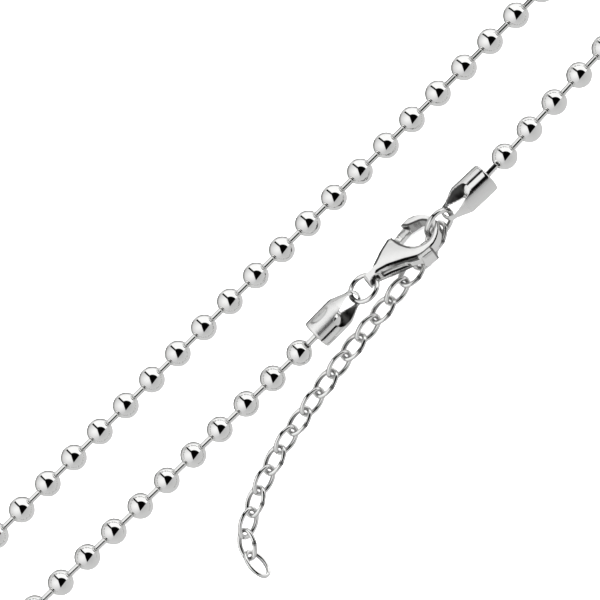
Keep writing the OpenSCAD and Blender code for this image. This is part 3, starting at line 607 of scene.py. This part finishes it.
def leaned(mesh, mouth, axis, tube_lean, taper_lean, roll, satin, satin_from):
    """Turns a cap's normals away from those of its mesh, so that the tent's reflections fall
    nearer to where the photo has them: normal + lean * axis + roll * side. The lean changes from
    the tube's to the taper's over TURN_HALF each way, and grows by OUTLINE_LEAN at the outline
    opposite to side. The roll fades on the taper. The attribute satin is set on the outside, on
    the part that side points to, from satin_from on."""
    co, normal = np.empty((2, len(mesh.vertices) * 3), np.float32)
    mesh.vertices.foreach_get("co", co)
    mesh.vertex_normals.foreach_get("vector", normal)
    normal = normal.reshape(-1, 3)
    side = np.cross(axis, [0, 0, np.sign(axis[0])])
    side /= np.linalg.norm(side)
    out = co.reshape(-1, 3) / MM + [MIDDLE_X, 0, 0] - mouth
    x, across = out @ axis, normal @ side
    radial = np.clip(2.5 * (1 - abs(normal @ axis)), 0, 1)
    turning = [CAP_TUBE - TURN_HALF, CAP_TUBE + TURN_HALF]
    lean = np.interp(x, turning, [tube_lean, taper_lean])
    lean = lean + np.sign(tube_lean) * OUTLINE_LEAN * np.clip((-across - 0.86) / 0.08, 0, 1)
    roll = np.interp(x, turning, [roll, 0])
    up = np.clip(normal[:, 2] / 0.4, 0, 1)
    outer = np.linalg.norm(out - x[:, None] * axis, axis=1) > CAP_R - 0.1
    satin = satin * outer * up * np.clip((across - satin_from) / 0.2, 0, 1)
    mesh.attributes.new("satin", "FLOAT", "POINT").data.foreach_set(
        "value", satin.astype(np.float32))
    normal = normal + (radial * lean)[:, None] * axis + (roll * radial * up)[:, None] * side
    normal /= np.linalg.norm(normal, axis=1)[:, None]
    mesh.normals_split_custom_set_from_vertices(normal.tolist())
    return mesh


left_grids, left_dull_and_shade_marks = cap_grids(left_mouth, LEFT_HEADING, LEFT_SLIT_TURN, True)
shown("left_cap_sheet", leaned(
    sheet_mesh("left_cap_sheet", left_grids, 40, left_dull_and_shade_marks), left_mouth, left_axis,
    tube_lean=-0.07, taper_lean=-0.48, roll=0.12, satin=0.2, satin_from=-0.9),
    tumbled_sheet, "polished_silver", "necklace", "end_cap_left")
right_grids, right_dull_and_shade_marks = cap_grids(right_mouth, RIGHT_HEADING + 180, RIGHT_SLIT_TURN,
                                     False)
shown("right_cap_sheet", leaned(
    sheet_mesh("right_cap_sheet", right_grids, 40, right_dull_and_shade_marks), right_mouth, -right_axis,
    tube_lean=0.21, taper_lean=0.0, roll=0.1, satin=0.36, satin_from=0.0),
    tumbled_sheet, "polished_silver", "necklace", "end_cap_right")


# The jump rings
# A jump ring is one turn of drawn silver wire, closed and soldered. The joint isn't drawn. The
# wire's dark lines are painted shade and painted dark reflections: each has its share of
# dull_and_shade_marks, and its half width in radians round the wire.
CLASP_RING_TILT, END_RING_TILT = -42.0, 54.4
INNER_SHADE_LINE, OUTER_SHADE_LINE = (0.8, 0.38), (0.5, 0.25)


def wire_grid(path, normal, wire, around=20):
    """Wire along a closed flat path: a circle of the wire's radius, set square to the path at
    each of its points, in the plane of the path's side and of its normal. Gives the grid and its
    dull_and_shade_marks: a painted dark line of shade and reflection on the wire's inner side, and
    a thinner one on its outer side."""
    ahead = np.roll(path, -1, 0) - np.roll(path, 1, 0)
    ahead /= np.linalg.norm(ahead, axis=1)[:, None]
    side = np.cross(ahead, normal)
    turn = np.linspace(0, 2 * np.pi, around + 1)
    radius = np.broadcast_to(np.asarray(wire) / 2, len(path))[:, None, None]
    grid = path[:, None] + radius * (np.cos(turn)[None, :, None] * side[:, None]
                                     + np.sin(turn)[None, :, None] * np.asarray(normal))
    # Painted shade and dark reflection: a dark line on the wire's inner side, a thinner one
    # outside.
    dull_and_shade = (INNER_SHADE_LINE[0] * np.exp(-((turn - np.pi) / INNER_SHADE_LINE[1]) ** 2)
            + OUTER_SHADE_LINE[0] * np.exp(-((np.pi - abs(turn - np.pi)) / OUTER_SHADE_LINE[1]) ** 2))
    return np.concatenate([grid, grid[:1]]), np.tile(dull_and_shade, (len(path) + 1, 1))


def ring_mesh(name, centre, radius, wire, angles):
    """A ring: wire along a circle that is turned by those angles and lies round the centre."""
    turn = np.linspace(0, 2 * np.pi, 97)[:-1]
    path = radius * np.stack([np.cos(turn), np.sin(turn), 0 * turn], 1)
    matrix = turn_by(angles)
    grid, dull_and_shade = wire_grid(path @ matrix.T, matrix[:, 2], wire, 24)
    return sheet_mesh(name, [grid + centre - [MIDDLE_X, 0, 0]], 60, [dull_and_shade])


# Drawn silver wire: the die leaves fine lines along it, drawn here every 0.09 mm so that they
# show at all.
# Its dark tone #303030 colours the wires' painted shade lines and the solder spots.
drawn_wire = silver("drawn_silver_wire", ("#f1f1f0", "#f7f7f6"), "#303030",
                    (0.07, 0.13), 0.09, 0.0003, streak=(0.04, 1.0, 1.0))
clasp_ring_turn = (CLASP_RING_TILT, -ring_rise, CLASP_RING_HEADING)
shown("clasp_ring_wire", ring_mesh(
    "clasp_ring_wire", left_seat + CLASP_RING_R * ring_axis, CLASP_RING_R, CLASP_RING_WIRE,
    clasp_ring_turn), drawn_wire, "bright_wire", "necklace", "clasp_ring")
end_ring_centre = hook_seat + END_RING_R * end_axis
end_ring_turn = (END_RING_TILT, -end_rise, END_RING_HEADING)
shown("extender_ring_wire", ring_mesh(
    "extender_ring_wire", end_ring_centre, END_RING_R, END_RING_WIRE, end_ring_turn),
    drawn_wire, "bright_wire", "necklace", "extender_ring")


# The clasp
# A lobster clasp, cast in silver and polished, with its edges rounded. The body holds a pocket
# in which the lever turns on its pin.
VOXEL_MM, BODY_PASSES, LEVER_PASSES = 0.05, 8, 7


def cast_mesh(node, voxel_mm, passes):
    """A casting's rounded shape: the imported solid's own mesh, laid out again as even small
    faces, whose points are then drawn towards their neighbours a few times, which rounds edges
    by about two of those faces and keeps the rest."""
    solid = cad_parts[node].data.copy()
    shape = bmesh.new()
    shape.from_mesh(solid)
    bmesh.ops.scale(shape, verts=shape.verts, vec=(1 / MM,) * 3)
    bmesh.ops.remove_doubles(shape, verts=shape.verts, dist=0.001)
    shape.to_mesh(solid)
    shape.free()
    work = bpy.data.objects.new(node + "_work", solid)
    bpy.context.scene.collection.objects.link(work)
    even = work.modifiers.new("even", "REMESH")
    even.mode, even.voxel_size, even.adaptivity = "VOXEL", voxel_mm, 0.0
    worn = work.modifiers.new("worn", "SMOOTH")
    worn.factor, worn.iterations = 0.5, passes
    bpy.context.view_layer.update()
    shaped = work.evaluated_get(bpy.context.evaluated_depsgraph_get())
    mesh = bpy.data.meshes.new_from_object(shaped)
    bpy.data.objects.remove(work)
    mesh.transform(Matrix.Scale(MM, 4))
    mesh.polygons.foreach_set("use_smooth", np.ones(len(mesh.polygons), bool))
    mesh.update()
    return mesh


# Cast silver, polished: a slightly uneven gloss.
# Its dark tone #444443 colours the clasp's painted dark reflections and painted shade.
cast_silver = silver("polished_cast_silver", ("#f0f0ef", "#f7f7f6"), "#444443",
                     (0.045, 0.09), 0.9, 0.0015)
clasp_mesh = cast_mesh("clasp_body", VOXEL_MM, BODY_PASSES)
clasp_frame = turn_by(CLASP_TURN)
# The back edge of the clasp's outline, from the tail to the far end.
BACK = CLASP_L * np.array([
    [0.0, -0.155], [0.04, -0.107], [0.099, -0.091], [0.188, -0.107], [0.279, -0.132],
    [0.385, -0.172], [0.5, -0.215], [0.616, -0.251], [0.69, -0.258], [0.766, -0.254],
    [0.82, -0.24], [0.871, -0.211], [0.915, -0.175], [0.954, -0.13], [1.0, -0.019]])


def in_clasp_frame(mesh):
    """How far a casting's points are along the clasp and across it, and its normals along it,
    across it and out of its face."""
    points, normals = np.empty((2, len(mesh.vertices) * 3), np.float32)
    mesh.vertices.foreach_get("co", points)
    mesh.vertex_normals.foreach_get("vector", normals)
    placed = (points.reshape(-1, 3) / MM + [MIDDLE_X, 0, 0] - clasp_origin) @ clasp_frame
    return placed[:, 0], placed[:, 1], normals.reshape(-1, 3) @ clasp_frame


# The faces' normals are turned away from those of the mesh, chosen so that the tent's
# reflections fall nearer to where the photo has them: they rise towards the shoulder, lean to
# the back, and roll over at the back edge. The mesh itself is flat up to its rounded edge. ROLL
# is the slope at the distances FROM_BACK in millimetres, which count for more near the hook.
FROM_BACK = [0, 0.06, 0.34, 0.5, 0.9, 1.7, 2.5, 3.4]
ROLL = [1.35, 1.2, 0.76, 0.54, 0.34, 0.06, -0.1, -0.17]
FACE_RISE, CORNER_RISE, FACE_FROM = 0.16, 0.1, 0.80
x, y, normals = in_clasp_frame(clasp_mesh)
from_back = y - np.interp(x, BACK[:, 0], BACK[:, 1])
roll = np.interp(from_back * (1 + 0.7 * np.clip((x - 5.2) / 1.6, 0, 1)), FROM_BACK, ROLL)
on_tail = np.clip((1.7 - x) / 0.6, 0, 1)
roll = on_tail * np.minimum(roll, 0.3) + (1 - on_tail) * roll
on_hook = np.clip((x - 6.2) / 0.6, 0, 1) * np.clip((y - 0.5) / 0.5, 0, 1)
roll = on_hook * np.interp(y, [1.4, 2.3], [0.35, -0.2]) + (1 - on_hook) * roll


def swept(mesh, normals, rise, roll, face_from=FACE_FROM):
    """Gives a casting's face points, whose normals point out of the face by more than face_from,
    the normals of a surface that rises and rolls so."""
    face = np.stack([-rise, -roll, np.sign(normals[:, 2])], 1)
    face /= np.linalg.norm(face, axis=1)[:, None]
    on_face = np.clip((abs(normals[:, 2]) - face_from) / 0.12, 0, 1)[:, None]
    mixed = on_face * face + (1 - on_face) * normals
    mixed /= np.linalg.norm(mixed, axis=1)[:, None]
    mesh.normals_split_custom_set_from_vertices((mixed @ clasp_frame.T).tolist())


corner = np.clip((from_back - 2.0) / 0.5, 0, 1) * (x < 6.3)
swept(clasp_mesh, normals, FACE_RISE + CORNER_RISE * corner, roll, FACE_FROM - 0.3 * corner)

# Dark lines are painted where the photo shows them: painted dark reflections along the opening's
# edge, darkest on the hook and on the plate, and along the edge from the tail to the shoulder,
# and painted shade on the opening's inner wall and on the wall under the back edge.
OPENING = CLASP_L * np.array([
    [0.509, 0.134], [0.523, 0.044], [0.537, 0.000], [0.558, -0.041], [0.580, -0.082],
    [0.611, -0.117], [0.642, -0.141], [0.678, -0.155], [0.716, -0.166], [0.755, -0.169],
    [0.800, -0.162], [0.842, -0.145], [0.874, -0.120], [0.898, -0.090], [0.914, -0.050],
    [0.921, -0.010], [0.918, 0.030], [0.903, 0.067], [0.880, 0.092], [0.850, 0.110],
    [0.808, 0.122], [0.766, 0.129], [0.713, 0.144], [0.684, 0.172]])
SHOULDER = CLASP_L * np.array([[0.0, 0.0], [0.137, -0.009], [0.298, 0.073], [0.463, 0.154]])


def away_from(line):
    """The distance of the casting's points from a line of straight pieces, seen on its face."""
    here = np.stack([x, y], 1)[:, None]
    start, way = line[:-1], np.diff(line, axis=0)
    share = np.clip(((here - start) * way).sum(2) / (way ** 2).sum(1), 0, 1)
    return np.linalg.norm(here - start - share[..., None] * way, axis=2).min(1)


# Strengths of the painted dark reflections along the edges and of the painted shade on the walls.
HOOK_EDGE_DARK_REFLECTION, PLATE_EDGE_DARK_REFLECTION, OTHER_EDGE_DARK_REFLECTION = 0.97, 0.9, 0.45
WALL_SHADE, SHOULDER_DARK_REFLECTION, UNDER_SHADE = 0.5, 0.97, 0.9
EDGE_WIDTH, SHOULDER_WIDTH = 0.30, 0.36
edge = np.select([(y > 0.3) & (x > 6.5), x < 6.3], [HOOK_EDGE_DARK_REFLECTION, PLATE_EDGE_DARK_REFLECTION], OTHER_EDGE_DARK_REFLECTION)
edge = edge * np.clip((EDGE_WIDTH - away_from(OPENING)) / 0.1, 0, 1)
# Painted shade on the opening's inner wall.
wall_shade = WALL_SHADE * (away_from(OPENING) < 0.2) * np.clip((0.7 - abs(normals[:, 2])) / 0.2, 0, 1)
# A painted dark reflection along the line from the tail to the shoulder.
shoulder = np.clip((SHOULDER_WIDTH - away_from(SHOULDER)) / 0.08, 0, 1) * (y > -0.1)
shoulder = SHOULDER_DARK_REFLECTION * shoulder * np.clip((x - 1.1) / 0.5, 0, 1)
# Painted shade on the wall under the back edge.
under = UNDER_SHADE * (normals[:, 1] < -0.5)
under = under * np.clip((x - 2.6) / 1.2, 0, 1) * np.clip((7.2 - x) / 0.4, 0, 1)
clasp_mesh.attributes.new("dull_and_shade_marks", "FLOAT", "POINT").data.foreach_set(
    "value", np.maximum.reduce([np.where(abs(normals[:, 2]) < 0.5, wall_shade, edge), shoulder,
                                under]).astype(np.float32))
shown("clasp_casting", clasp_mesh, cast_silver, "cast_silver", "necklace", "clasp_body")

# The lever is cast as one piece, with the gate at one end and the thumb tab at the other. Its
# normals are turned as the body's are, its bevels' too, and the tab's end is darkened with
# painted shade.
LEVER_RISE, LEVER_ROLL, BEVEL_ROLL = 0.17, -0.15, 0.12
TAB_FROM, TAB_END_SHADE, TAB_END_WIDTH = -2.3, 0.85, 0.3
lever_mesh = cast_mesh("clasp_lever", VOXEL_MM, LEVER_PASSES)
x, y, normals = in_clasp_frame(lever_mesh)
on_bevel = np.clip((normals[:, 2] - 0.4) / 0.1, 0, 1) * np.clip((0.9 - normals[:, 2]) / 0.1, 0, 1)
normals[:, 1] -= BEVEL_ROLL * on_bevel
swept(lever_mesh, normals, LEVER_RISE + 0 * x, LEVER_ROLL + 0 * x)
tab = y < TAB_FROM
# Painted shade on the tab's end.
tab_end_shade = TAB_END_SHADE * tab * np.clip((x - x[tab].max() + TAB_END_WIDTH) / 0.1, 0, 1)
lever_mesh.attributes.new("dull_and_shade_marks", "FLOAT", "POINT").data.foreach_set(
    "value", tab_end_shade.astype(np.float32))
shown("lever_casting", lever_mesh, cast_silver, "cast_silver", "lever", "clasp_lever")

# The pin is a short round rod through both plates, with rounded ends.
PIN_D, PIN_ROUND = 0.7, 0.08
pin_low, pin_high = (np.array(corner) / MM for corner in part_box("lever_pivot_pin"))
pin_line = turn_by(CLASP_TURN) @ np.array([0, 0, 1.0])
pin_half = ((pin_high - pin_low)[2] - PIN_D * np.sqrt(1 - pin_line[2] ** 2)) / pin_line[2] / 2
pin_middle = (pin_low + pin_high) / 2
dome = np.radians(np.linspace(90, 0, 7))
pin_end = np.stack([PIN_ROUND * (1 - np.sin(dome)), PIN_D / 2 - PIN_ROUND * (1 - np.cos(dome))],
                   1)
pin_profile = np.vstack([[[0, 0]], pin_end, np.stack([2 * pin_half - pin_end[::-1, 0],
                                                      pin_end[::-1, 1]], 1), [[2 * pin_half, 0]]])
shown("pivot_pin", sheet_mesh("pivot_pin", [turned_grid(
    pin_middle - pin_half * pin_line, pin_middle + pin_half * pin_line, pin_profile, 32)], 40),
    cast_silver, "cast_silver", "necklace", "lever_pivot_pin")


# The extender
# A length of cable chain: oval links of drawn wire, each turned over against the next, closed
# with a low bead of solder on one side, and a dark spot on every second bead.
LINK_HALF, LINK_END_R, LINK_WIRE, LINK_INSIDE, LINK_TILT = (1.7, 1.095), 0.85, 0.55, 2.85, 40.0
LINK_HEIGHT = LINK_HALF[1] * np.sin(np.radians(LINK_TILT)) + LINK_WIRE / 2
SOLDER_AT, BEAD_SPREAD, BEAD_RISE, BEAD_MARKS = (70, 30), 1.6, 0.07, 0.9
JOINT_ON_RING = (0.005, -0.621, -0.18)
# Given for each link, as in the solids: its heading, its play on the link before, the side
# that it is turned over to, and its far end's height as a share of LINK_HEIGHT.
ROUTE = [
    [199.5, 0.15, 0.965, 0.782], [189.2, 0.55, -0.61, 0.779], [185.9, 0.16, 0.784, 1],
    [187.5, 0.16, -1, 1], [186.5, 0.16, 1, 1], [186, 0.18, -1, 1],
    [187, 0.23, 1, 1], [187, 0.23, -1, 1], [190, 0.23, 1, 1],
    [190, 0.23, -1, 1], [190, 0.23, 1, 1], [191, 0.23, -1, 1],
    [198, 0.23, 1, 1], [198, 0.23, -1, 1], [207, 0.23, 1, 1],
    [207, 0.30, -1, 1], [237, 0.34, 1, 1], [267, 0.20, -1.15, 1.212]]


def oval_path():
    """A link's middle line: an arc of the end's radius at each end, and on each side a flatter
    arc that meets them without a corner."""
    half_l, half_w = LINK_HALF
    end_x = half_l - LINK_END_R
    side_r = (end_x ** 2 + half_w ** 2 - LINK_END_R ** 2) / (2 * (half_w - LINK_END_R))
    meet = np.arctan2(side_r - half_w, end_x)
    ends, sides = np.linspace(-meet, meet, 21)[:-1], np.linspace(meet, np.pi - meet, 21)[:-1]
    half = np.vstack([
        np.stack([end_x + LINK_END_R * np.cos(ends), LINK_END_R * np.sin(ends)], 1),
        np.stack([side_r * np.cos(sides), half_w - side_r + side_r * np.sin(sides)], 1)])
    whole = np.vstack([half, -half])
    return np.hstack([whole, np.zeros((len(whole), 1))])


link_path = oval_path()
joint = end_ring_centre + turn_by(end_ring_turn) @ (END_RING_R * np.array(JOINT_ON_RING))
for number, (heading, play, tilt, far_height) in enumerate(ROUTE, 1):
    pitch = LINK_INSIDE - play
    rise = np.degrees(np.arcsin((LINK_HEIGHT * far_height - joint[2]) / pitch))
    matrix = turn_by([0, -rise, heading]) @ turn_by([LINK_TILT * tilt, 0, 0])
    middle = joint + pitch / 2 * along(heading, rise)
    bead = np.exp(-((np.arange(len(link_path)) - SOLDER_AT[number % 2]) / BEAD_SPREAD) ** 2)
    grid, dull_and_shade = wire_grid(link_path @ matrix.T, matrix[:, 2], LINK_WIRE * (1 + BEAD_RISE * bead))
    dull_and_shade = np.maximum(dull_and_shade, BEAD_MARKS * (number % 2) * np.append(bead, bead[0])[:, None])
    shown(f"link_{number:02d}_wire", sheet_mesh(
        f"link_{number:02d}_wire", [grid + middle - [MIDDLE_X, 0, 0]], 60, [dull_and_shade]),
        drawn_wire, "bright_wire", "necklace", f"extender_link_{number:02d}")
    joint = joint + pitch * along(heading, rise)


# The recesses
# Between the pieces and in the clasp's pocket the silver gets painted shade, darker and a little
# rougher, the more so the more other metal lies round a point. The limits and the strength
# were chosen. The balls are left as they are.
REACH, RAYS = 1.5, 20
COVER_FROM, COVER_SPAN, COVER_SHADE = 0.3, 0.5, 0.7


def metal_tree():
    """All the metal as one search tree, in millimetres."""
    places, faces, start = [], [], 0
    for piece in dressed:
        count = len(piece.data.vertices)
        co = np.empty(count * 3, np.float32)
        piece.data.vertices.foreach_get("co", co)
        places.append(co.reshape(-1, 3) / MM)
        faces += [[start + v for v in face.vertices] for face in piece.data.polygons]
        start += count
    return BVHTree.FromPolygons(np.vstack(places).tolist(), faces)


def covered(mesh, metal):
    """For each point, the share of the RAYS directions round its normal, denser near it as for
    soft light, along which other metal lies within REACH. Direction k has the radius
    sqrt(k / RAYS) in the surface and turns by the golden angle from the one before."""
    co, normal = np.empty((2, len(mesh.vertices) * 3), np.float32)
    mesh.vertices.foreach_get("co", co)
    mesh.vertex_normals.foreach_get("vector", normal)
    co, normal = co.reshape(-1, 3) / MM, normal.reshape(-1, 3)
    side = np.cross(normal, np.where(abs(normal[:, 2:]) < 0.9, [[0, 0, 1]], [[1, 0, 0]]))
    side /= np.linalg.norm(side, axis=1)[:, None] + 1e-9
    other = np.cross(normal, side)
    k = (np.arange(RAYS) + 0.5) / RAYS
    golden = np.arange(RAYS) * np.radians(137.5)
    ways = (np.sqrt(k) * np.cos(golden))[:, None, None] * side
    ways = ways + (np.sqrt(k) * np.sin(golden))[:, None, None] * other
    ways = ways + np.sqrt(1 - k)[:, None, None] * normal
    starts, ways = (co + 0.02 * normal).tolist(), ways.transpose(1, 0, 2).tolist()
    cast = metal.ray_cast
    return np.array([sum(cast(start, way, REACH)[0] is not None for way in fan)
                     for start, fan in zip(starts, ways)]) / RAYS


metal = metal_tree()
for piece in dressed:
    if piece != balls:
        mesh = piece.data
        # Painted shade by how much other metal covers the point.
        recess_shade = np.clip((covered(mesh, metal) - COVER_FROM) / COVER_SPAN, 0, 1) * COVER_SHADE
        if "dull_and_shade_marks" in mesh.attributes:
            dull_and_shade_marks = np.empty(len(mesh.vertices), np.float32)
            mesh.attributes["dull_and_shade_marks"].data.foreach_get("value", dull_and_shade_marks)
            recess_shade = np.maximum(recess_shade, dull_and_shade_marks)
        else:
            mesh.attributes.new("dull_and_shade_marks", "FLOAT", "POINT")
        mesh.attributes["dull_and_shade_marks"].data.foreach_set("value", recess_shade.astype(np.float32))
